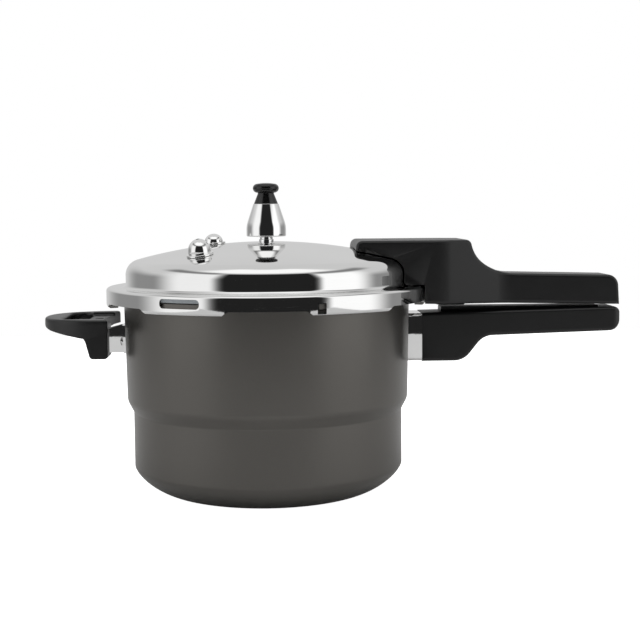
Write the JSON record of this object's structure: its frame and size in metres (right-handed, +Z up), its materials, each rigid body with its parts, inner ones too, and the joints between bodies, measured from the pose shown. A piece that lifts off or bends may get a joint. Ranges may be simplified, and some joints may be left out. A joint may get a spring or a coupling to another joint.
{
  "type": "stovetop pressure cooker",
  "caption": "Round stovetop pressure cooker with a bayonet lid, a weighted regulator, a relief valve, paired long handles and a short helper handle.",
  "frame": {"origin": "centre of the flat base, on the surface that it stands on", "axes": "+X along the long handles, +Y to the back, +Z up along the pot's axis"},
  "size_m": [0.4606, 0.2552, 0.245],
  "materials": {
    "anodised": "satin hard-anodised",
    "polished_sheet": "polished",
    "bright_metal": "polished",
    "steel": "plain",
    "bakelite": "moulded, satin",
    "gloss_black": "glossy",
    "silicone": "soft, matt",
    "soft_alloy": "cast, dull"
  },
  "bodies": {
    "pot": {"pot_body": "anodised", "pot_handle_bracket": "steel", "pot_handle_ferrule": "bright_metal", "pot_handle": "bakelite", "pot_handle_screw": "steel", "bracket_rivets": "bright_metal", "helper_bracket": "bright_metal", "helper_handle": "bakelite", "helper_screw": "steel"},
    "lid": {"lid_shell": "polished_sheet", "gasket": "silicone", "vent_pipe": "bright_metal", "vent_washer": "silicone", "vent_nut": "steel", "vent_screen": "steel", "relief_body": "bright_metal", "relief_spring": "steel", "fuse_plug": "bright_metal", "fuse_core": "soft_alloy", "valve_nuts": "steel", "valve_washers": "silicone", "lid_handle": "bakelite", "lid_handle_bracket": "steel", "lid_handle_screws": "steel", "indicator_bush": "steel", "indicator_nut": "steel", "indicator_washer": "silicone"},
    "weight": {"weight_bell": "bright_metal", "weight_cap": "gloss_black", "weight_needle": "steel"},
    "plunger": {"relief_plunger": "steel", "relief_seal": "silicone"},
    "indicator": {"indicator_pin": "steel", "indicator_foot": "steel", "indicator_seal": "silicone"}
  },
  "joints": [
    {"name": "lid_turn", "type": "hinge", "parent": "pot", "child": "lid", "pos_m": [0, 0, 0.1575], "axis": [0, 0, -1], "range_deg": [0, 29]},
    {"name": "weight_lift", "type": "slide", "parent": "lid", "child": "weight", "axis": [0, 0, 1], "range_m": [0, 0.03]},
    {"name": "relief_lift", "type": "slide", "parent": "lid", "child": "plunger", "axis": [-0.1249, -0.1575, 0.9796], "range_m": [0, 0.003], "stiffness_N_per_m": 600, "springref_m": -0.005, "deforming": ["relief_spring"]},
    {"name": "indicator_rise", "type": "slide", "parent": "lid", "child": "indicator", "axis": [0.2325, 0, 0.9726], "range_m": [0, 0.004]}
  ]
}
